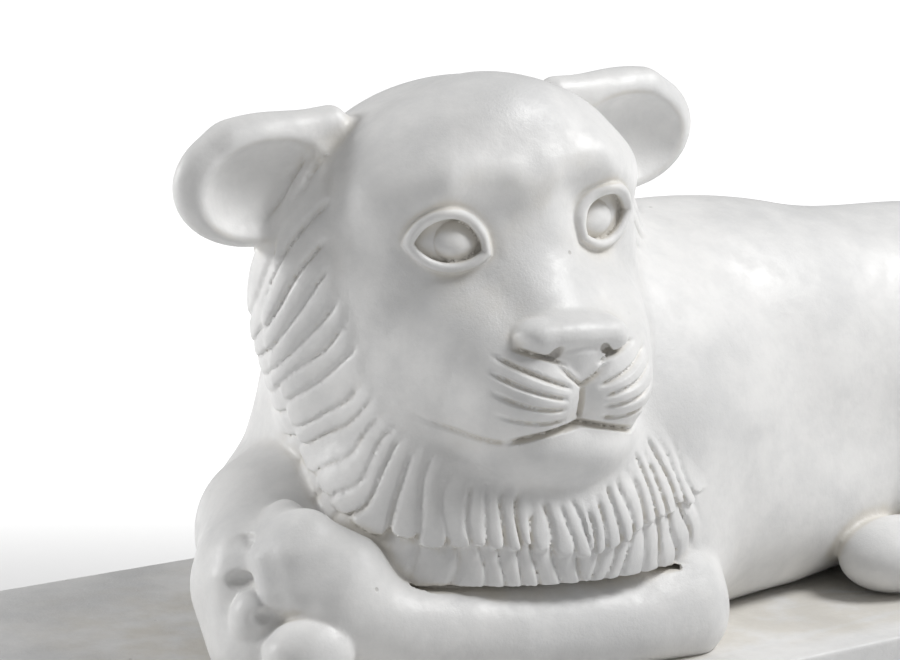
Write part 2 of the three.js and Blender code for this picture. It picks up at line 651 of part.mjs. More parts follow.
function plinthGeometry() {
  const half = [(LION_LENGTH + FRONT_MARGIN + REAR_MARGIN) / 2, LION_WIDTH / 2 + SIDE_MARGIN, PLINTH_HEIGHT / 2];
  const corners = [];
  for (let c = 0; c < 8; c += 1) {
    const sign = [c & 1 ? 1 : -1, c & 2 ? 1 : -1, c & 4 ? 1 : -1];
    for (let axis = 0; axis < 3; axis += 1) {
      const p = half.map((h, k) => sign[k] * (k === axis ? h : h - PLINTH_CHAMFER));
      corners.push(new THREE.Vector3(p[0], p[1], p[2] + half[2]));
    }
  }
  return new ConvexGeometry(corners);
}

const wasm = await createManifold();
wasm.setup();
const { Manifold, Mesh } = wasm;

function solidOf(geometry) {
  const bare = new THREE.BufferGeometry();
  bare.setAttribute("position", geometry.getAttribute("position"));
  if (geometry.index) bare.setIndex(geometry.index);
  const merged = mergeVertices(bare, 1e-4);
  return new Manifold(new Mesh({
    numProp: 3,
    vertProperties: Float32Array.from(merged.getAttribute("position").array),
    triVerts: Uint32Array.from(merged.index.array),
  }));
}

function figureGeometry() {
  const samples = sampleFigure();
  cleanSamples(samples);
  const { flat, index } = placeFigure(simplify(skinOf(samples), TRIANGLES));
  const geometry = new THREE.BufferGeometry();
  geometry.setAttribute("position", new THREE.Float32BufferAttribute(flat, 3));
  geometry.setIndex(index);
  return geometry;
}

function geometryOf(solid) {
  const mesh = solid.getMesh();
  const geometry = new THREE.BufferGeometry();
  geometry.setAttribute("position", new THREE.BufferAttribute(Float32Array.from(mesh.vertProperties), 3));
  geometry.setIndex(new THREE.BufferAttribute(Uint32Array.from(mesh.triVerts), 1));
  geometry.computeVertexNormals();
  return geometry;
}

const lion = solidOf(figureGeometry()).add(solidOf(plinthGeometry()));
const whole = lion.decompose().reduce((a, b) => (b.volume() > a.volume() ? b : a));

const marble = new THREE.MeshStandardMaterial({ color: 0xe9e8e4, roughness: 0.62, metalness: 0 });
const statue = new THREE.Mesh(geometryOf(whole), marble);
statue.name = "lion_on_plinth";

const group = new THREE.Group();
group.name = "lion_statue";
group.add(statue);

export default group;
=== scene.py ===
"""Lion statue: a lying lion with a carved mane on a low plinth, one block of weathered white marble."""

import math
from concurrent.futures import ThreadPoolExecutor

import bmesh
import bpy
import numpy as np
from mathutils import Matrix, Vector


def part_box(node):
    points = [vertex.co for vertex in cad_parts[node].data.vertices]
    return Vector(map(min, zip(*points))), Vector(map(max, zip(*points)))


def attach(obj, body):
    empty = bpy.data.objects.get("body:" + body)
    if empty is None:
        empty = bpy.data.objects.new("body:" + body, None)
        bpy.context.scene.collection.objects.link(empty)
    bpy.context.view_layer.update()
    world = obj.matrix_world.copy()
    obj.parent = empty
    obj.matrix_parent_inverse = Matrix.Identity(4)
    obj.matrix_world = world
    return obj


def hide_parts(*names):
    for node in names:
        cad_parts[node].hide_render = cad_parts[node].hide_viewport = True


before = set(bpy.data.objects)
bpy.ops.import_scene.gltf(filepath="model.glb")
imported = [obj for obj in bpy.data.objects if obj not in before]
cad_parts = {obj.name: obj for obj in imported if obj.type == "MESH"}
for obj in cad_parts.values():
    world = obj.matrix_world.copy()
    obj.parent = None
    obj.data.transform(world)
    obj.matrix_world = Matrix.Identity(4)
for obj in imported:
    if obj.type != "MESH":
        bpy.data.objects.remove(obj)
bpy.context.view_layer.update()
NODE = "lion_on_plinth"
MM = 0.001

# Sizes in millimetres
LION_LENGTH = 860
LION_WIDTH = 382
LION_HEIGHT = 400
FRONT_MARGIN = 90  # from the plinth's front end to the paws
PLINTH_HEIGHT = 70
PLINTH_ROUND = 4

# The shapes are laid out in millimetres round a point under the chest, then set to the sizes above
PARTS_LOW = (-440, -225, -22)  # ends of the box that is sampled
PARTS_HIGH = (480, 215, 435)
HEAD = (-184, -20, 232)  # middle of the head
HEAD_REACH = 290  # the head ends within this of its middle
HEAD_ROLL = math.radians(2.4)
FOOT_DEPTH = 16  # how far the figure goes down into the plinth

# From the shapes to a mesh
GRID = 1.9  # spacing of the samples
COARSE_BLOCK = 16  # samples along a side of a block, first and second time
FINE_BLOCK = 4
BLOCK_REACH = 1.3  # a block may be crossed when the skin is within this many sides and the margin
COARSE_MARGIN = 22
FINE_MARGIN = 12
BLOCK_CHUNK = 100000  # how many blocks, samples or points a thread takes at a time
SAMPLE_CHUNK = 65536
POINT_CHUNK = 20000
NEAR = 22  # a shape further than this from a block leaves its surface alone
FILL_ROUNDS = 30
FILLED = -0.02  # a filled corner's distance, in grid steps
TRIANGLES = 150000
SPLIT_EYE = 40  # the face's triangles are split within this of the eyes, and in this box round the muzzle
SPLIT_SIDE = 92
SPLIT_FRONT = 92
SPLIT_MIDDLE = -26
SPLIT_HALF = 50
SHARP_REACH = 285  # points within this of the head's middle are set exactly on its skin
SLOPE_STEP = 0.35
SLOPE_MOST = 1.2
SLOPE_LEAST = 0.2
HOLLOW_REACH = ((3, 0.5), (9, 0.5))  # how far out a hollow is felt for, and how much that counts
HOLLOW_FLOOR = -2  # no hollows are felt for below this
SHARP_EDGE = math.radians(50)


# Shapes: each list is joined and cut in its order
def egg(at, radii, fillet=0, tilt=0):
    return dict(at=at, radii=radii, fillet=fillet, turn=math.radians(tilt), cut=False)


def limb(path, fillet=0, flat=1):
    return dict(path=path, fillet=fillet, flat=flat, cut=False)


def cut(shape):
    return dict(shape, cut=True)


BODY = [
    egg([20, 20, 140], [270, 124, 142]),
    egg([-130, 5, 140], [170, 138, 150], 40),
    egg([-215, 15, 95], [115, 105, 95], 35),
    egg([-62, -38, 122], [140, 96, 124], 30),
    egg([-90, 98, 118], [130, 80, 120], 30),
    egg([262, 18, 132], [160, 114, 126], 50),
    limb([[-190, 0, 200, 112], [-120, 25, 165, 124]], 40),
    limb([[-80, -60, 58, 64], [70, -52, 58, 62], [200, -20, 58, 60]], 40),
    egg([-172, 62, 212], [94, 84, 92], 14),
]
HIND_LEG = [
    egg([284, 70, 112], [122, 84, 126], 16, 14),
    limb([[330, 124, 40, 40], [232, 142, 30, 32], [170, 142, 26, 28]], 9),
    egg([140, 140, 26], [50, 36, 28], 8),
]
HIND_MIDDLE = 8
BIB_LEVEL = -163  # flat underside of the bib over the foreleg
TAIL = [
    limb([
        [400, 10, 90, 28], [428, -60, 34, 22], [400, -132, 24, 19], [330, -164, 20, 18], [250, -167, 20, 17],
    ], 8),
    egg([222, -163, 24], [44, 22, 26], 8),
]
FORELEGS = [
    limb([[-110, 134, 60, 57], [-270, 70, 70, 56], [-318, 0, 84, 54]], 14),
    limb([[-318, -10, 84, 54], [-358, -58, 66, 50]], 14),
    egg([-360, -86, 36], [50, 52, 42], 14),
    limb([[-80, -148, 22, 32], [-225, -148, 35, 31], [-300, -134, 45, 32], [-340, -122, 62, 33]], 6),
    limb([[-80, -76, 130, 56], [-80, -108, 50, 46]], 40),
    limb([[-336, -112, 76, 38], [-352, -96, 92, 32]], 12),
    limb([[-350, -100, 106, 19], [-362, -108, 94, 20], [-364, -116, 76, 20]], 6),
    limb([[-378, -58, 98, 13], [-391, -70, 76, 14], [-392, -82, 48, 15]], 5),
    limb([[-350, -72, 112, 14], [-376, -99, 94, 13], [-379, -111, 76, 12]], 5),
    egg([-388, -102, 58], [19, 17, 22], 1.5),
    egg([-370, -138, 42], [32, 24, 24], 4),
    cut(egg([-392, -80, 107], [14, 11, 7], 2)),
    cut(egg([-398, -92, 83], [14, 11, 7], 1.5)),
    cut(egg([-396, -120, 66], [12, 7, 6], 1.5)),
]
SKULL = [
    egg([0, 0, 68], [112, 96, 88]),
    egg([0, 50, 112], [64, 50, 53], 34),
    egg([50, 44, 84], [60, 48, 59], 30),
]
RUFF = [
    egg([0, -4, 15], [152, 76, 138]),
    egg([0, 14, -72], [126, 80, 88], 40),
]
CHEEKS = [
    egg([58, 44, 6], [56, 50, 84], 30),
    egg([44, 66, -46], [58, 50, 54], 34),
    limb([[36, 76, -22, 55], [34, 112, -31, 40]], 26),
    limb([[20, 94, 95, 12], [58, 87, 102, 12], [94, 60, 92, 10]], 26),
    cut(egg([40, 117, 82], [22, 17, 18], 24)),
]
BIB = [
    egg([10, 30, -118], [150, 114, 124]),
    egg([8, 62, -152], [146, 93, 66], 30),
]
FACE = [
    limb([[0, 66, 72, 26], [0, 97, 32, 25], [0, 131, 0, 20]], 22, 0.62),
    egg([52, 88, -12], [32, 42, 40], 22),
    egg([0, 104, -74], [66, 53, 34], 12),
    egg([27, 119, -34], [41, 41, 31], 15, 10),
    egg([0, 143, 5], [41, 17, 12], 6),
    egg([28, 142, 3], [13, 14.5, 10.5], 5),
    limb([[0, 146, -8, 11], [0, 148, -31, 3.5]], 1.5, 0.6),
    cut(limb([[16, 158, -3, 2.2], [20, 151, -5, 4], [27, 148, -8, 2.6]], 1)),
]
EAR = [
    egg([148, -6, 104], [62, 22, 44]),
    limb([[92, -4, 136, 13], [168, -4, 133, 12]], 10),
    cut(egg([146, 16, 97], [51, 26, 35], 7)),
]
RUFF_FILLET = 16
BIB_FILLET = 4
BIB_INSET = 3
BIB_TILT = 0.1  # the bib's underside isn't quite level
BIB_EDGE = (0.8, 0.6, 204, 2.5)  # slanting left end of the bib: two slopes, distance and fillet
EAR_FILLET = 8
NECK_FILLET = (2.5, 3.5)  # at the bib, and what is added further up
MIDLINE = 9  # the two halves of the skull run into each other over about this width
MUZZLE_LEAN = 0.09  # the nose and the pads are carved a little out of level

# Mane, as in the solids: angle from below the chin, then where the face and the two tiers end
TIERS = np.array([
    [0, 100, 137, 250],
    [16, 96, 134, 250],
    [33, 75, 124, 230],
    [52, 38, 118, 200],
    [68, 20, 100, 150],
    [82, 20, 94, 124],
    [95, 30, 94, 122],
    [110, 45, 96, 122],
    [126, 62, 99, 120],
    [135, 81, 98, 112],
    [150, 90, 98, 105],
    [180, 90, 98, 105],
], float)
LOCK_BELOW = 4.6  # degrees from one lock to the next below the chin
LOCK_SIDE = 8.6  # the same at the sides
LOCK_COUNT = np.array([[0, 0], [45, 9.8], [60, 13], [75, 15.6], [260, 37]])  # locks up to an angle
LEAN_BELOW = 0.12  # how far the locks sweep round, in degrees to a millimetre outwards
LEAN_SIDE = 0.5
CUT_DEPTH = 3.4
CUT_HALF = 2.2  # half the width of a cut line
CUT_START = 16  # the lines start up to this far from the face
TIP_LENGTH = 7
TIP_SCATTER = 9
LOCK_ROUND = 0.9  # how far the locks stand up between their lines, and how much they tip
LOCK_TILT = 0.8
CALM = 0.5  # the low left side is carved this much less deeply
INNER_RISE = (1, 5.5, 2.2)  # inner tier: at the face, added at its edge, and taken off again at the sides
OUTER_RISE = 2.8
RUFF_MIDDLE = 10  # height of the ruff's middle

PAD_MIDDLE = 90  # the lines of the muzzle bend round an upright line this far forward
# Lines cut into the muzzle: three places by turn and height, then depth and half the width
MUZZLE_LINES = (
    ((10, -29), (29, -20), (51, -8), 3.4, 2.6),
    ((13, -36), (32, -29), (52, -18), 3.4, 2.6),
    ((14, -43), (32, -40), (50, -31), 3.4, 2.6),
    ((14, -51), (33, -51), (49, -46), 2.6, 2.4),
    ((-9, -53), (16, -58), (46, -66), 5.4, 3),
    ((46, -66), (64, -61), (86, -44), 2.2, 2.8),
    ((-9, -33), (8, -23), (18, -13), 3.4, 2.4),
    ((12, -14), (26, -8), (42, -3), 3.2, 2.2),
)
MUZZLE_LEVEL = -30  # all of them lie within MUZZLE_HALF of this height
MUZZLE_HALF = 48
PHILTRUM = (3, 2.6, -31, -50)  # depth, half the width, top and bottom
SLOT_HALF = 1.8  # the dark line between bib and foreleg
SLOT_DEPTH = 7
SLOT_ZONE = (40, 20)  # up to this far above the bib's underside, and from here forwards
EYE = (60, 96.5, 66.5)
EYE_TURN = math.radians(21.5)
EYE_REACH = 60
EYE_OUTER = (30.7, 0.6)
EYE_TOP = (-5.5, 18.3)
EYE_INNER = (-22.8, -9.5)
EYE_BOTTOM = (3, -17.5)
EYE_DEPTH = (3.4, 1.4)  # the eyeball's depth, and what is added under the upper lid
IRIS_AT = (-3, -0.5)
IRIS_RADII = (15.5, 13.5)
IRIS_RISE = 4.6
LID_HALF = (3.2, 0.8)  # half the lids' thickness, and what is added to the upper one


def join(a, b, fillet):
    if np.ndim(fillet) == 0 and fillet == 0:
        return np.minimum(a, b)
    h = np.maximum(fillet - np.abs(a - b), 0) / fillet
    return np.minimum(a, b) - h * h * (fillet / 4)


def smooth(low, high, x):
    t = np.clip((x - low) / (high - low), 0, 1)
    return t * t * (3 - 2 * t)


def scatter(i, k):
    """A fixed draw between 0 and 1 for each whole number i."""
    x = np.sin(i * 12.9898 + k * 78.233) * 43758.5453
    return x - np.floor(x)


def egg_distance(p, s):
    q = p - np.array(s["at"], np.float32)
    if s["turn"]:
        c, n = math.cos(s["turn"]), math.sin(s["turn"])
        q = np.stack([q[:, 0] * c - q[:, 2] * n, q[:, 1], q[:, 0] * n + q[:, 2] * c], 1)
    r = np.array(s["radii"], np.float32)
    a = q / r
    k0 = np.sqrt((a * a).sum(1))
    a /= r
    return k0 * (k0 - 1) / (np.sqrt((a * a).sum(1)) + 1e-9)


def limb_distance(p, s):
    if s["flat"] != 1:
        p = p * np.array([s["flat"], 1, 1], np.float32)
    best = None
    for a, b in zip(s["path"], s["path"][1:]):
        start = np.array(a[:3], np.float32)
        run = np.array(b[:3], np.float32) - start
        q = p - start
        t = np.clip(q @ run / (run @ run), 0, 1)
        q -= t[:, None] * run
        d = np.sqrt((q * q).sum(1)) - (a[3] + (b[3] - a[3]) * t)
        best = d if best is None else np.minimum(best, d)
    return best


def ball_of(s):
    """A sphere round a shape, to tell which blocks it can reach."""
    if "radii" in s:
        return np.array(s["at"], float), max(s["radii"])
    pts = np.array([q[:3] for q in s["path"]], float) / np.array([s["flat"], 1, 1])
    mid = (pts.min(0) + pts.max(0)) / 2
    return mid, np.linalg.norm(pts - mid, axis=1).max() + max(q[3] for q in s["path"]) / s["flat"]


def shapes_distance(p, shapes, d=None, zone=None):
    for s in shapes:
        if zone is not None and d is not None:
            mid, reach = ball_of(s)
            if np.linalg.norm(mid - zone[0]) > reach + zone[1] + s["fillet"] + NEAR:
                continue
        e = limb_distance(p, s) if "path" in s else egg_distance(p, s)
        if d is None:
            d = e
        else:
            d = -join(-d, e, s["fillet"]) if s["cut"] else join(d, e, s["fillet"])
    return d


def along_ruff(p):
    """Angle round the ruff from below the chin, and how far out a point lies."""
    level = p[:, 2] - RUFF_MIDDLE
    angle = np.degrees(np.arctan2(np.abs(p[:, 0]), -level))
    side = smooth(15, 80, angle)
    return angle, np.hypot(p[:, 0], level) * (1 - 0.35 * side) - p[:, 1] * (0.1 + 0.65 * side)


def mane_height(p):
    """Height of the carved hair over the ruff: two tiers of flat locks with cut lines between them."""
    angle, run = along_ruff(p)
    face_edge, inner_edge, outer_edge = (np.interp(angle, TIERS[:, 0], TIERS[:, k]) for k in (1, 2, 3))
    out = run - face_edge
    left = p[:, 0] < 0
    radius = np.hypot(p[:, 0], p[:, 2] - RUFF_MIDDLE)
    lean = LEAN_BELOW + (LEAN_SIDE - LEAN_BELOW) * smooth(45, 100, angle)
    wave = np.sin(out / 11 + angle / 14 + np.where(left, 0, 7.3))
    wave += 0.3 * np.sin(out / 5.3 + angle / 3.1)
    swept = angle + lean * out + wave
    pitch = LOCK_BELOW + (LOCK_SIDE - LOCK_BELOW) * smooth(45, 75, swept)
    lock = np.interp(swept, LOCK_COUNT[:, 0], LOCK_COUNT[:, 1]) * np.where(left, 1, -1)
    lock = lock + 0.2 * np.sin(lock * 0.9 + 1) + 0.07 * np.sin(lock * 2.3 + 2)
    to_mm = pitch * np.radians(1) * radius / np.sqrt(1 + (lean * np.radians(1) * radius) ** 2)
    calm = 1 - CALM * smooth(26, 40, angle) * (1 - smooth(72, 92, angle)) * left

    def locks(number, seed, end):
        """Heights from the cut lines, the round tops and the tips of one tier."""
        line = np.round(number)
        gap = np.abs(number - line) * to_mm
        i = np.floor(number)
        side = number - i
        tip = 4 * (side - 0.5) ** 2
        past = run - end - TIP_SCATTER * (scatter(i, seed) - 0.5) + TIP_LENGTH * tip ** 2
        started = smooth(0, 7, out - CUT_START * scatter(line, seed + 1))
        deep = (0.4 + 0.7 * scatter(line, seed + 2)) * started * calm
        top = LOCK_ROUND * smooth(0, 6, gap) + LOCK_TILT * (side - 0.5) * np.where(left, -1, 1)
        cuts = CUT_DEPTH * deep * np.maximum(1 - gap / CUT_HALF, 0)
        return 1 - smooth(-1.2, 1.5, past), top * calm * smooth(0, 12, out) - cuts

    inner, inner_top = locks(lock, 1, inner_edge)
    outer, outer_top = locks(lock * 0.87 + 0.5, 11, outer_edge)
    low, rise, less = INNER_RISE
    rise = rise - less * smooth(40, 70, angle)
    inner_height = low + rise * smooth(0, 1, out / (inner_edge - face_edge + 1)) + inner_top
    outer_height = (OUTER_RISE + outer_top) * outer
    height = outer_height + (inner_height - outer_height) * inner
    start = smooth(-2, 2 + 12 * smooth(35, 60, angle), out)
    return height * (1 - smooth(132, 152, angle)) * start


def arc(p, q, r):
    """Centre and radius of the circle through three points."""
    (ax, ay), (bx, by), (cx, cy) = p, q, r
    d = 2 * (ax * (by - cy) + bx * (cy - ay) + cx * (ay - by))
    a, b, c = ax * ax + ay * ay, bx * bx + by * by, cx * cx + cy * cy
    x = (a * (by - cy) + b * (cy - ay) + c * (ay - by)) / d
    y = (a * (cx - bx) + b * (ax - cx) + c * (bx - ax)) / d
    return x, y, math.hypot(ax - x, ay - y)


UPPER_LID = arc(EYE_OUTER, EYE_TOP, EYE_INNER)
LOWER_LID = arc(EYE_OUTER, EYE_BOTTOM, EYE_INNER)


def carve_eye(p, d):
    """Sinks the eyeball into the skin at distance d and lays the lids round it."""
    q = p - np.array(EYE, np.float32)
    a = q[:, 0] * math.cos(EYE_TURN) - q[:, 1] * math.sin(EYE_TURN)
    n = q[:, 0] * math.sin(EYE_TURN) + q[:, 1] * math.cos(EYE_TURN)
    v = q[:, 2]
    rim = np.maximum(*(np.hypot(a - x, v - y) - r for x, y, r in (UPPER_LID, LOWER_LID)))
    front = smooth(-30, -18, n)
    skin = d + 1.2 * smooth(14, 2, np.abs(rim)) * front
    round_iris = ((a - IRIS_AT[0]) / IRIS_RADII[0]) ** 2 + ((v - IRIS_AT[1]) / IRIS_RADII[1]) ** 2
    iris = np.clip(1 - round_iris, 0, 1)
    deep = EYE_DEPTH[0] + EYE_DEPTH[1] * smooth(-4, 12, v) - IRIS_RISE * iris ** 0.7
    ball = np.where(rim < 0, skin + deep * front, skin)
    thick = LID_HALF[0] + LID_HALF[1] * smooth(-4, 6, v)
    lid = np.hypot(rim + 0.6, skin - 0.8) - thick + (1 - front) * 9
    return join(ball, lid, 2)


def muzzle_cuts(m):
    """Depth of the curved lines in the muzzle, laid out by the turn round it and the height."""
    turn = np.degrees(np.arctan2(m[:, 0], m[:, 1] - PAD_MIDDLE))
    depth = np.zeros(len(m), np.float32)
    for start, middle, end, deep, half in MUZZLE_LINES:
        line = np.polyfit((start[0], middle[0], end[0]), (start[1], middle[1], end[1]), 2)
        slant = 2 * line[0] * turn + line[1]
        gap = np.abs(m[:, 2] - np.polyval(line, turn)) / np.sqrt(1 + slant * slant)
        run = smooth(start[0] - 3, start[0] + 5, turn) * (1 - smooth(end[0] - 8, end[0] + 3, turn))
        depth = np.maximum(depth, deep * run * np.maximum(1 - gap / half, 0))
    deep, half, top, bottom = PHILTRUM
    run = smooth(bottom - 3, bottom + 3, m[:, 2]) * (1 - smooth(top - 3, top + 3, m[:, 2]))
    return np.maximum(depth, deep * run * np.maximum(1 - m[:, 0] / half, 0))


def head_distance(p, zone=None):
    """Distance to the head: x sideways, y forwards, z up; zone is as in figure_distance."""
    x, z = p[:, 0], p[:, 2]
    m = np.stack([np.abs(x), p[:, 1], z], 1)
    if zone is not None:
        zone = (np.array([abs(zone[0][0]), *zone[0][1:]]), zone[1])
    even = np.stack([np.hypot(x, MIDLINE), p[:, 1], z], 1)
    skull = join(shapes_distance(even, SKULL), shapes_distance(m, RUFF), RUFF_FILLET)
    hair = mane_height(p)
    bib = shapes_distance(p, BIB) - hair + BIB_INSET
    bib = np.maximum(bib, BIB_LEVEL - z - BIB_TILT * x)
    across, upwards, away, fillet = BIB_EDGE
    bib = -join(-bib, x * across + z * upwards + away, fillet)
    d = join(shapes_distance(even, CHEEKS, skull) - hair, bib, BIB_FILLET)
    muzzle = np.stack([m[:, 0], m[:, 1], z + MUZZLE_LEAN * x * smooth(95, 150, p[:, 1])], 1)
    d = shapes_distance(muzzle, FACE, d, zone)
    level = np.abs(m[:, 2] - MUZZLE_LEVEL) < MUZZLE_HALF
    front = (m[:, 1] > PAD_MIDDLE + 2) & level & (np.abs(d) < NEAR)
    if front.any():
        d[front] += muzzle_cuts(muzzle[front])
    near_eye = ((m - np.array(EYE, np.float32)) ** 2).sum(1) < EYE_REACH ** 2
    if near_eye.any():
        d[near_eye] = carve_eye(m[near_eye], d[near_eye])
    return join(d, shapes_distance(m, EAR), EAR_FILLET)


def carve_slot(p, d):
    """Cuts a thin dark line into the foreleg, right under the bib."""
    band = np.abs(p[:, 2] - BIB_LEVEL + BIB_TILT * p[:, 0] + SLOT_HALF + 0.5) - SLOT_HALF
    shell = np.abs(shapes_distance(p, BIB) + 1) - SLOT_DEPTH
    return -join(-d, np.maximum(band, shell), 1)


def to_head(p):
    """Places in the figure as the head has them."""
    x, z = p[:, 0] - HEAD[0], p[:, 2] - HEAD[2]
    c, s = math.cos(HEAD_ROLL), math.sin(HEAD_ROLL)
    return np.stack([x * c + z * s, HEAD[1] - p[:, 1], z * c - x * s], 1).astype(np.float32)


def figure_distance(p, zone=None):
    """Distance to the figure's skin; zone is a ball round the points, to leave out far shapes."""
    p = p.astype(np.float32)
    d = shapes_distance(p, BODY, None, zone)
    m = np.stack([p[:, 0], HIND_MIDDLE + np.abs(p[:, 1] - HIND_MIDDLE), p[:, 2]], 1)
    far = None
    if zone is not None:
        c = zone[0]
        far = (np.array([c[0], HIND_MIDDLE + abs(c[1] - HIND_MIDDLE), c[2]]), zone[1])
    d = shapes_distance(m, HIND_LEG, d, far)
    d = shapes_distance(p, TAIL, d, zone)
    d = shapes_distance(p, FORELEGS, d, zone)
    q = to_head(p)
    inside = (q * q).sum(1) < HEAD_REACH ** 2
    if inside.any():
        part = None
        if zone is not None:
            part = (to_head(np.array([zone[0]]))[0], zone[1])
        body = d[inside]
        h = q[inside]
        under = (h[:, 2] < BIB_LEVEL + SLOT_ZONE[0]) & (h[:, 1] > SLOT_ZONE[1])
        if under.any():
            body[under] = carve_slot(h[under], body[under])
        fillet = NECK_FILLET[0] + NECK_FILLET[1] * smooth(-140, -100, h[:, 2])
        d[inside] = join(body, head_distance(h, part), fillet)
    return np.maximum(d, -FOOT_DEPTH - p[:, 2])


def sample_figure(step):
    """Samples the figure on a grid: coarse blocks first, then only those near the surface."""
    low = np.array(PARTS_LOW, float)
    size = step * COARSE_BLOCK
    counts = np.ceil((np.array(PARTS_HIGH) - low) / size).astype(int)
    axes = [low[k] + (np.arange(counts[k]) + 0.5) * size for k in range(3)]
    d = figure_distance(np.stack(np.meshgrid(*axes, indexing="ij"), -1).reshape(-1, 3))
    values = d.reshape(counts).astype(np.float32)
    for axis in range(3):
        values = np.repeat(values, COARSE_BLOCK, axis)
    keep = np.abs(d) < size * BLOCK_REACH + COARSE_MARGIN
    big = np.stack(np.unravel_index(np.nonzero(keep)[0], counts), 1)
    split = COARSE_BLOCK // FINE_BLOCK
    small = (big[:, None] * split + cells_of(split)).reshape(-1, 3)
    centre = low + (small * FINE_BLOCK + (FINE_BLOCK - 1) / 2) * step
    d = in_threads(lambda s: figure_distance(centre[s]), len(centre), BLOCK_CHUNK)
    near = np.abs(d) < step * FINE_BLOCK * BLOCK_REACH + FINE_MARGIN
    cell = cells_of(FINE_BLOCK)
    at = (small[~near][:, None] * FINE_BLOCK + cell).reshape(-1, 3)
    values[at[:, 0], at[:, 1], at[:, 2]] = np.repeat(d[~near], FINE_BLOCK ** 3)
    at = (small[near][:, None] * FINE_BLOCK + cell).reshape(-1, 3)

    def sampled(s):
        p = low + at[s] * step
        mid = (p.min(0) + p.max(0)) / 2
        return figure_distance(p, (mid, np.linalg.norm(p - mid, axis=1).max()))

    values[at[:, 0], at[:, 1], at[:, 2]] = in_threads(sampled, len(at), SAMPLE_CHUNK)
    return values, low


def cells_of(count):
    return np.stack(np.meshgrid(*[np.arange(count)] * 3, indexing="ij"), -1).reshape(-1, 3)


def in_threads(work, count, chunk):
    """The work done on slices of at most chunk items, side by side, put together in order."""
    parts = [slice(i, min(i + chunk, count)) for i in range(0, count, chunk)]
    with ThreadPoolExecutor(4) as pool:
        return np.concatenate(list(pool.map(work, parts)))


def split_cells():
    """For each way a cell's corners can be inside or outside: whether either kind is in two pieces."""
    def pieces(mask):
        count = 0
        while mask:
            part = mask & -mask
            for _ in range(8):
                for c in range(8):
                    if part >> c & 1:
                        part |= mask & (1 << (c ^ 1) | 1 << (c ^ 2) | 1 << (c ^ 4))
            mask &= ~part
            count += 1
        return count
    return np.array([pieces(m) > 1 or pieces(255 - m) > 1 for m in range(256)])


CORNERS = np.array([[c & 1, c >> 1 & 1, c >> 2 & 1] for c in range(8)])


def corner_masks(values):
    inside = values < 0
    n = np.array(values.shape) - 1
    mask = np.zeros(n, np.uint8)
    for c, (i, j, k) in enumerate(CORNERS):
        mask |= inside[i:n[0] + i, j:n[1] + j, k:n[2] + k].astype(np.uint8) << c
    return mask


def clean_samples(values, step):
    """Fills corners until no cell holds two pieces of surface, so that the skin is closed."""
    split = split_cells()
    for _ in range(FILL_ROUNDS):
        mask = corner_masks(values)
        cells = np.argwhere(split[mask])
        if len(cells) == 0:
            return mask
        at = cells[:, None] + CORNERS
        v = values[at[..., 0], at[..., 1], at[..., 2]]
        pick = np.where(v >= 0, v, np.inf).argmin(1)
        at = at[np.arange(len(at)), pick]
        values[at[:, 0], at[:, 1], at[:, 2]] = FILLED * step
    return corner_masks(values)


def skin_of(values, low, step):
    """One point in each cell that the surface crosses, one square for each grid line that it crosses."""
    mask = clean_samples(values, step)
    crossed = (mask != 0) & (mask != 255)
    number = np.full(values.shape, -1, np.int32)
    number[:-1, :-1, :-1][crossed] = np.arange(crossed.sum())
    total = np.zeros((crossed.sum(), 3))
    count = np.zeros(crossed.sum())
    squares = []
    inside = values < 0
    for axis in range(3):
        a = [slice(None)] * 3
        b = [slice(None)] * 3
        a[axis], b[axis] = slice(0, -1), slice(1, None)
        at = np.argwhere(inside[tuple(a)] != inside[tuple(b)])
        d0 = values[tuple(at.T)]
        other = at.copy()
        other[:, axis] += 1
        d1 = values[tuple(other.T)]
        point = at.astype(float)
        point[:, axis] += d0 / (d0 - d1)
        u, v = (axis + 1) % 3, (axis + 2) % 3
        ring = []
        for du, dv in ((0, 0), (-1, 0), (-1, -1), (0, -1)):
            cell = at.copy()
            cell[:, u] += du
            cell[:, v] += dv
            ring.append(number[tuple(cell.T)])
        ring = np.stack(ring, 1)
        for k in range(4):
            count += np.bincount(ring[:, k], minlength=len(count))
            for c in range(3):
                total[:, c] += np.bincount(ring[:, k], weights=point[:, c], minlength=len(count))
        out = d0 >= 0
        ring[out] = ring[out][:, ::-1]
        squares.append(ring)
    return total / count[:, None] * step + low, np.concatenate(squares)


def mesh_from(name, points, faces):
    mesh = bpy.data.meshes.new(name)
    sides = faces.shape[1]
    mesh.vertices.add(len(points))
    mesh.vertices.foreach_set("co", points.astype(np.float32).ravel())
    mesh.loops.add(faces.size)
    mesh.loops.foreach_set("vertex_index", faces.astype(np.int32).ravel())
    mesh.polygons.add(len(faces))
    mesh.polygons.foreach_set("loop_start", np.arange(len(faces), dtype=np.int32) * sides)
    mesh.polygons.foreach_set("loop_total", np.full(len(faces), sides, np.int32))
    mesh.update(calc_edges=True)
    return mesh


def new_object(name, mesh):
    ob = bpy.data.objects.new(name, mesh)
    bpy.context.scene.collection.objects.link(ob)
    return ob


def settled(ob):
    """The object's mesh with its modifiers applied, which are then removed."""
    graph = bpy.context.evaluated_depsgraph_get()
    mesh = bpy.data.meshes.new_from_object(ob.evaluated_get(graph))
    ob.modifiers.clear()
    old = ob.data
    ob.data = mesh
    bpy.data.meshes.remove(old)
    return mesh


def coordinates(mesh):
    co = np.empty(len(mesh.vertices) * 3, np.float32)
    mesh.vertices.foreach_get("co", co)
    return co.reshape(-1, 3)


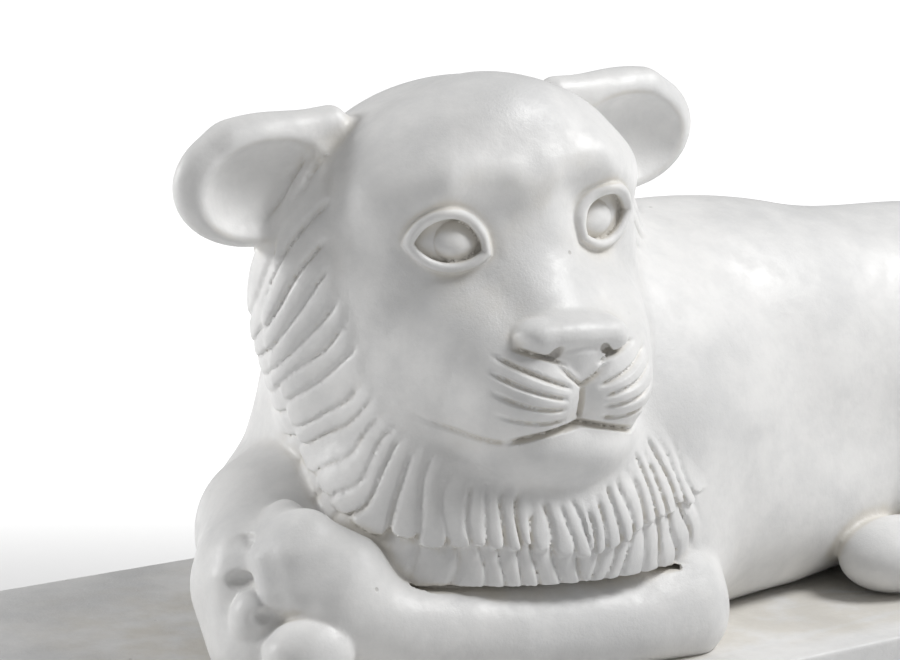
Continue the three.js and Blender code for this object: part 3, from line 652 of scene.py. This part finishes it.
def on_skin(points):
    """Moves points onto the true skin, along its slope there."""
    out = points.copy()
    q = to_head(points)
    near = np.nonzero((q * q).sum(1) < SHARP_REACH ** 2)[0]
    offsets = [sign * SLOPE_STEP * row for row in np.eye(3) for sign in (1, -1)]
    for _ in range(2):
        p = out[near].astype(np.float64)
        steps = [p] + [p + offset for offset in offsets]

        def round_about(s):
            return figure_distance(np.concatenate([places[s] for places in steps])).reshape(7, -1).T

        d = in_threads(round_about, len(p), POINT_CHUNK)
        slope = (d[:, 1::2] - d[:, 2::2]) / (2 * SLOPE_STEP)
        steep = np.maximum((slope * slope).sum(1, keepdims=True), SLOPE_LEAST)
        move = -d[:, :1] * slope / steep
        length = np.linalg.norm(move, axis=1, keepdims=True)
        out[near] = p + move * np.minimum(1, SLOPE_MOST / np.maximum(length, 1e-6))
    return out


def finer_face(mesh):
    """Splits the triangles round the eyes and the muzzle in four, for the lids and the cut lines."""
    bm = bmesh.new()
    bm.from_mesh(mesh)
    q = to_head(np.array([f.calc_center_median() for f in bm.faces]))
    q[:, 0] = np.abs(q[:, 0])
    eye = ((q - EYE) ** 2).sum(1) < SPLIT_EYE ** 2
    level = np.abs(q[:, 2] - SPLIT_MIDDLE) < SPLIT_HALF
    muzzle = (q[:, 0] < SPLIT_SIDE) & (q[:, 1] > SPLIT_FRONT) & level
    bm.faces.ensure_lookup_table()
    edges = {e for i in np.nonzero(eye | muzzle)[0] for e in bm.faces[i].edges}
    bmesh.ops.subdivide_edges(bm, edges=sorted(edges, key=lambda e: e.index), cuts=1, use_grid_fill=True)
    bmesh.ops.triangulate(bm, faces=[f for f in bm.faces if len(f.verts) > 3])
    bm.to_mesh(mesh)
    bm.free()


def build_figure():
    """The figure set to its sizes, and what is needed to go back from there to its parts."""
    values, low = sample_figure(GRID)
    points, squares = skin_of(values, low, GRID)
    ob = new_object("lion_statue", mesh_from("lion_statue", points, squares))
    thin = ob.modifiers.new("thin", "DECIMATE")
    thin.ratio = min(1, TRIANGLES / (2 * len(squares)))
    thin.use_collapse_triangulate = True
    mesh = settled(ob)
    finer_face(mesh)
    co = on_skin(coordinates(mesh))
    start, end = co.min(0), co.max(0)
    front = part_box(NODE)[0][0] / MM + FRONT_MARGIN
    placed = np.empty_like(co)
    placed[:, 0] = (co[:, 0] - start[0]) / (end[0] - start[0]) * LION_LENGTH + front
    placed[:, 1] = ((co[:, 1] - start[1]) / (end[1] - start[1]) - 0.5) * LION_WIDTH
    placed[:, 2] = co[:, 2] / end[2] * LION_HEIGHT + PLINTH_HEIGHT
    mesh.vertices.foreach_set("co", (placed * MM).ravel())
    mesh.update()
    return ob, (start, end, front)


def to_parts(places, layout):
    """Finished places in metres back to where the shapes are laid out."""
    start, end, front = layout
    p = places / MM
    return np.stack([
        (p[:, 0] - front) / LION_LENGTH * (end[0] - start[0]) + start[0],
        (p[:, 1] / LION_WIDTH + 0.5) * (end[1] - start[1]) + start[1],
        (p[:, 2] - PLINTH_HEIGHT) / LION_HEIGHT * end[2],
    ], 1)


def mark_hollows(mesh, layout):
    """Stores at each vertex how far it lies in a hollow, for the stains and the painted shade in hollows and
    creases.
    """
    normals = np.empty(len(mesh.vertices) * 3, np.float32)
    mesh.vertices.foreach_get("normal", normals)
    normals = normals.reshape(-1, 3)
    places = to_parts(coordinates(mesh), layout)
    hollow = np.zeros(len(places))
    for reach, weight in HOLLOW_REACH:
        out = places + normals * reach
        d = in_threads(lambda s: figure_distance(out[s]), len(out), POINT_CHUNK)
        hollow += weight * np.clip(1 - d / reach, 0, 1)
    hollow[places[:, 2] < HOLLOW_FLOOR] = 0
    stored = mesh.attributes.new("hollow", "FLOAT", "POINT")
    stored.data.foreach_set("value", hollow.astype(np.float32))


def build_plinth():
    low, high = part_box(NODE)
    mesh = bpy.data.meshes.new("plinth")
    bm = bmesh.new()
    bmesh.ops.create_cube(bm, size=1)
    size = Vector((high[0] - low[0], high[1] - low[1], PLINTH_HEIGHT * MM))
    middle = Vector(((low[0] + high[0]) / 2, (low[1] + high[1]) / 2, low[2] + size[2] / 2))
    for v in bm.verts:
        v.co = Vector([a * b for a, b in zip(v.co, size)]) + middle
    bmesh.ops.bevel(
        bm, geom=bm.edges[:], offset=PLINTH_ROUND * MM, segments=3, affect="EDGES", profile=0.6
    )
    bm.to_mesh(mesh)
    bm.free()
    return new_object("plinth", mesh)


statue, layout = build_figure()
plinth = build_plinth()
both = statue.modifiers.new("plinth", "BOOLEAN")
both.operation = "UNION"
both.solver = "MANIFOLD"
both.object = plinth
settled(statue)
bpy.data.objects.remove(plinth)
statue.data.name = "lion_statue"
statue.data.polygons.foreach_set("use_smooth", np.ones(len(statue.data.polygons), bool))
statue.data.set_sharp_from_angle(angle=SHARP_EDGE)

# Marble: colours, how much each counts, and the sizes of its marks (times to a metre)
CLEAN_MARBLE = (0.83, 0.825, 0.815, 1)
GREY_MARBLE = (0.56, 0.565, 0.57, 1)
# Beige colour laid on by how deep the stone lies in a hollow: partly stains, partly painted shade in the
# hollows and creases
STAIN_AND_SHADE_COLOUR = (0.60, 0.545, 0.44, 1)
PIT_COLOUR = (0.36, 0.34, 0.31, 1)
CLOUD_SHARE = 0.5
MOTTLE_SHARE = 0.22
STAIN_AND_SHADE_SHARE = 0.4
PIT_SHARE = 0.45
CLOUD_SCALE = 8
MOTTLE_SCALE = 46
STAIN_AND_SHADE_SCALE = 30
PIT_SCALE = 55
GRAIN_SCALE = 520
RIPPLE_SCALE = 85
CLOUD_STEP = (0.42, 0.68)  # noise at which each mark starts, and at which it is full
MOTTLE_STEP = (0.35, 0.7)
STAIN_AND_SHADE_STEP = (0.06, 0.5)
STAIN_AND_SHADE_NOISE = (2.2, -0.4)  # the noise of the stains and the painted shade is stretched and lowered by these
PIT_CHOSEN = (0.92, 0.95)  # few cells have a pit
PIT_EDGE = (0.05, 0.11)
GRAIN_HEIGHT = (0.7, 0.12)  # in the clouds, and what is added everywhere
RIPPLE_HEIGHT = 1.1
PIT_DROP = 0.9
RUBBED = 0.42  # roughness where the stone is best rubbed, and where it is least
WORN = 0.6
BUMP_DEPTH = 0.0007
BUMP_STRENGTH = 0.55


def add_node(tree, kind, settings=None, **sockets):
    """Adds a node; a socket takes a number, a colour or another node's output."""
    made = tree.nodes.new(kind)
    for name, value in (settings or {}).items():
        setattr(made, name, value)
    for label, value in sockets.items():
        connect(tree, value, made.inputs[label.replace("_", " ")])
    return made


def connect(tree, value, socket):
    if isinstance(value, bpy.types.NodeSocket):
        tree.links.new(value, socket)
    else:
        socket.default_value = value


def math_of(tree, operation, a, b):
    made = tree.nodes.new("ShaderNodeMath")
    made.operation = operation
    connect(tree, a, made.inputs[0])
    connect(tree, b, made.inputs[1])
    return made.outputs[0]


def step_of(tree, value, low, high, start=0.0, end=1.0):
    """A soft step from start to end while the value goes from low to high."""
    made = add_node(
        tree, "ShaderNodeMapRange", {"interpolation_type": "SMOOTHSTEP"},
        Value=value, From_Min=low, From_Max=high, To_Min=start, To_Max=end,
    )
    return made.outputs["Result"]


def noise(tree, vector, scale, detail, roughness=0.55):
    made = add_node(
        tree, "ShaderNodeTexNoise", Vector=vector, Scale=scale, Detail=detail, Roughness=roughness
    )
    return made.outputs["Fac"]


def new_group(name, takes, gives):
    """A node group with these sockets, and its two ends."""
    tree = bpy.data.node_groups.new(name, "ShaderNodeTree")
    for label, kind in takes:
        tree.interface.new_socket(label, in_out="INPUT", socket_type="NodeSocket" + kind)
    for label, kind in gives:
        tree.interface.new_socket(label, in_out="OUTPUT", socket_type="NodeSocket" + kind)
    return tree, tree.nodes.new("NodeGroupInput").outputs, tree.nodes.new("NodeGroupOutput").inputs


def clouds_group():
    """Wide grey clouds and a finer mottle."""
    takes = [("Vector", "Vector")]
    gives = [("Cloud", "Float"), ("Mottle", "Float")]
    tree, takes, gives = new_group("marble clouds", takes, gives)
    wide = noise(tree, takes["Vector"], CLOUD_SCALE, 6, 0.6)
    fine = noise(tree, takes["Vector"], MOTTLE_SCALE, 5, 0.65)
    connect(tree, step_of(tree, wide, *CLOUD_STEP), gives["Cloud"])
    connect(tree, step_of(tree, fine, *MOTTLE_STEP), gives["Mottle"])
    return tree


def stain_and_shade_group():
    """Patchy stains, which also paint shade into the stone, where the stone lies in a hollow."""
    takes = [("Vector", "Vector"), ("Hollow", "Float")]
    tree, takes, gives = new_group("hollow stains and painted shade", takes, [("Stain and shade", "Float")])
    patchy = math_of(tree, "MULTIPLY", noise(tree, takes["Vector"], STAIN_AND_SHADE_SCALE, 5), STAIN_AND_SHADE_NOISE[0])
    patchy = math_of(tree, "ADD", patchy, STAIN_AND_SHADE_NOISE[1])
    deep = math_of(tree, "MULTIPLY", takes["Hollow"], patchy)
    connect(tree, step_of(tree, deep, *STAIN_AND_SHADE_STEP), gives["Stain and shade"])
    return tree


def pits_group():
    """A few small round pits."""
    tree, takes, gives = new_group("stone pits", [("Vector", "Vector")], [("Pits", "Float")])
    cells = add_node(tree, "ShaderNodeTexVoronoi", Vector=takes["Vector"], Scale=PIT_SCALE)
    parts = add_node(tree, "ShaderNodeSeparateColor", Color=cells.outputs["Color"])
    chosen = step_of(tree, parts.outputs["Red"], *PIT_CHOSEN)
    round_pit = step_of(tree, cells.outputs["Distance"], *PIT_EDGE, 1.0, 0.0)
    connect(tree, math_of(tree, "MULTIPLY", round_pit, chosen), gives["Pits"])
    return tree


def height_group():
    """Height of the surface: grain that is rougher in the clouds, a soft ripple, and the pits."""
    takes = [("Vector", "Vector"), ("Cloud", "Float"), ("Pits", "Float")]
    tree, takes, gives = new_group("stone surface", takes, [("Height", "Float")])
    grain = noise(tree, takes["Vector"], GRAIN_SCALE, 3, 0.7)
    in_clouds, everywhere = GRAIN_HEIGHT
    coarse = math_of(tree, "MULTIPLY", takes["Cloud"], in_clouds)
    coarse = math_of(tree, "ADD", coarse, everywhere)
    height = math_of(tree, "MULTIPLY", grain, coarse)
    ripple = noise(tree, takes["Vector"], RIPPLE_SCALE, 4)
    ripple = math_of(tree, "MULTIPLY", ripple, RIPPLE_HEIGHT)
    height = math_of(tree, "ADD", height, ripple)
    sunk = math_of(tree, "MULTIPLY", takes["Pits"], PIT_DROP)
    height = math_of(tree, "SUBTRACT", height, sunk)
    connect(tree, height, gives["Height"])
    return tree


def group_node(tree, group, **sockets):
    return add_node(tree, "ShaderNodeGroup", {"node_tree": group}, **sockets).outputs


def mixed(tree, mask, share, under, over):
    """The colour over laid on the colour under, by the mask and a share."""
    made = tree.nodes.new("ShaderNodeMix")
    made.data_type = "RGBA"
    connect(tree, math_of(tree, "MULTIPLY", mask, share), made.inputs[0])
    connect(tree, under, made.inputs[6])
    connect(tree, over, made.inputs[7])
    return made.outputs[2]


def marble():
    made = bpy.data.materials.new("marble")
    made.use_nodes = True
    tree = made.node_tree
    shader = tree.nodes["Principled BSDF"]
    place = tree.nodes.new("ShaderNodeTexCoord").outputs["Object"]
    hollow = add_node(tree, "ShaderNodeAttribute", {"attribute_name": "hollow"}).outputs["Fac"]
    clouds = group_node(tree, clouds_group(), Vector=place)
    stain_and_shade = group_node(tree, stain_and_shade_group(), Vector=place, Hollow=hollow)["Stain and shade"]
    pits = group_node(tree, pits_group(), Vector=place)["Pits"]
    surface = group_node(tree, height_group(), Vector=place, Cloud=clouds["Cloud"], Pits=pits)
    colour = mixed(tree, clouds["Cloud"], CLOUD_SHARE, CLEAN_MARBLE, GREY_MARBLE)
    colour = mixed(tree, clouds["Mottle"], MOTTLE_SHARE, colour, GREY_MARBLE)
    # Beige stains and painted shade in the hollows and creases
    colour = mixed(tree, stain_and_shade, STAIN_AND_SHADE_SHARE, colour, STAIN_AND_SHADE_COLOUR)
    colour = mixed(tree, pits, PIT_SHARE, colour, PIT_COLOUR)
    connect(tree, colour, shader.inputs["Base Color"])
    connect(tree, step_of(tree, clouds["Mottle"], 0.0, 1.0, RUBBED, WORN), shader.inputs["Roughness"])
    bump = add_node(
        tree, "ShaderNodeBump", Height=surface["Height"], Distance=BUMP_DEPTH, Strength=BUMP_STRENGTH
    )
    connect(tree, bump.outputs["Normal"], shader.inputs["Normal"])
    return made


mark_hollows(statue.data, layout)
statue.data.materials.clear()
statue.data.materials.append(marble())
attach(statue, "root")
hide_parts(NODE)

# Floor, light and camera, in metres
VIEW_TURN = math.radians(32)  # the photo looks this far round from the lion's side, and this far down
VIEW_DROP = math.radians(12)
VIEW_DISTANCE = 2.0
VIEW_SCALE = 1 / 0.7  # pixels to a millimetre at the head
VIEW_MIDDLE = Vector((-190, -20, 305)) * MM  # near the head's middle
VIEW_SHIFT = (3.5 * MM, -21 * MM)  # what the camera looks at, to the right and up from there
PHOTO_WIDTH = 900
SENSOR = 36
FLOOR_HALF = 8.0
FLOOR_TONE = (0.7, 0.7, 0.7, 1)
FLOOR_ROUGH = 0.9
GLOW_BEHIND = (0.1, 0.8, 0.05, 0.95)  # the floor grows light behind the statue: from, to, least and most
GLOW_FAR = (1.1, 2.3, 0.0, 0.85)  # and far off on every side
STUDIO_LIGHT = 0.21
KEY_PLACE = (1.35, -0.95, 2.2)
KEY_SIZE = 0.9
KEY_POWER = 56
RIM_PLACE = (-1.6, 0.9, 0.9)
RIM_SIZE = 0.5
RIM_POWER = 16


def floor_glow(tree):
    """How strongly the floor shines, so that the background is white."""
    place = tree.nodes.new("ShaderNodeTexCoord").outputs["Object"]
    along = add_node(tree, "ShaderNodeVectorMath", {"operation": "DOT_PRODUCT"})
    connect(tree, place, along.inputs[0])
    along.inputs[1].default_value = (math.sin(VIEW_TURN), math.cos(VIEW_TURN), 0)
    away = add_node(tree, "ShaderNodeVectorMath", {"operation": "LENGTH"})
    connect(tree, place, away.inputs[0])
    behind = step_of(tree, along.outputs["Value"], *GLOW_BEHIND)
    far = step_of(tree, away.outputs["Value"], *GLOW_FAR)
    return math_of(tree, "MAXIMUM", behind, far)


def build_floor():
    mesh = bpy.data.meshes.new("floor")
    e = FLOOR_HALF
    mesh.from_pydata([(-e, -e, 0), (e, -e, 0), (e, e, 0), (-e, e, 0)], [], [(0, 1, 2, 3)])
    made = bpy.data.materials.new("floor")
    made.use_nodes = True
    shader = made.node_tree.nodes["Principled BSDF"]
    shader.inputs["Base Color"].default_value = FLOOR_TONE
    shader.inputs["Roughness"].default_value = FLOOR_ROUGH
    shader.inputs["Emission Color"].default_value = (1, 1, 1, 1)
    connect(made.node_tree, floor_glow(made.node_tree), shader.inputs["Emission Strength"])
    mesh.materials.append(made)
    return new_object("floor", mesh)


def place_camera():
    ahead = Vector((
        math.sin(VIEW_TURN) * math.cos(VIEW_DROP),
        math.cos(VIEW_TURN) * math.cos(VIEW_DROP),
        -math.sin(VIEW_DROP),
    ))
    right = Vector((math.cos(VIEW_TURN), -math.sin(VIEW_TURN), 0))
    up = right.cross(ahead)
    lens = bpy.data.cameras.new("camera")
    lens.sensor_width = SENSOR
    lens.lens = VIEW_SCALE * VIEW_DISTANCE / MM * SENSOR / PHOTO_WIDTH
    camera = new_object("camera", lens)
    pose = Matrix((right, up, -ahead)).transposed().to_4x4()
    pose.translation = VIEW_MIDDLE + right * VIEW_SHIFT[0] + up * VIEW_SHIFT[1] - ahead * VIEW_DISTANCE
    camera.matrix_world = pose
    bpy.context.scene.camera = camera


def softbox(name, place, size, power):
    lamp = bpy.data.lights.new(name, "AREA")
    lamp.size = size
    lamp.energy = power
    ob = new_object(name, lamp)
    ob.location = place
    ob.rotation_euler = (VIEW_MIDDLE - Vector(place)).to_track_quat("-Z", "Y").to_euler()


build_floor()
place_camera()
world = bpy.data.worlds.new("studio")
bpy.context.scene.world = world
world.use_nodes = True
backdrop = world.node_tree.nodes["Background"]
backdrop.inputs["Color"].default_value = (1, 1, 1, 1)
backdrop.inputs["Strength"].default_value = STUDIO_LIGHT
softbox("key", KEY_PLACE, KEY_SIZE, KEY_POWER)
softbox("rim", RIM_PLACE, RIM_SIZE, RIM_POWER)
bpy.context.scene.view_settings.view_transform = "Standard"
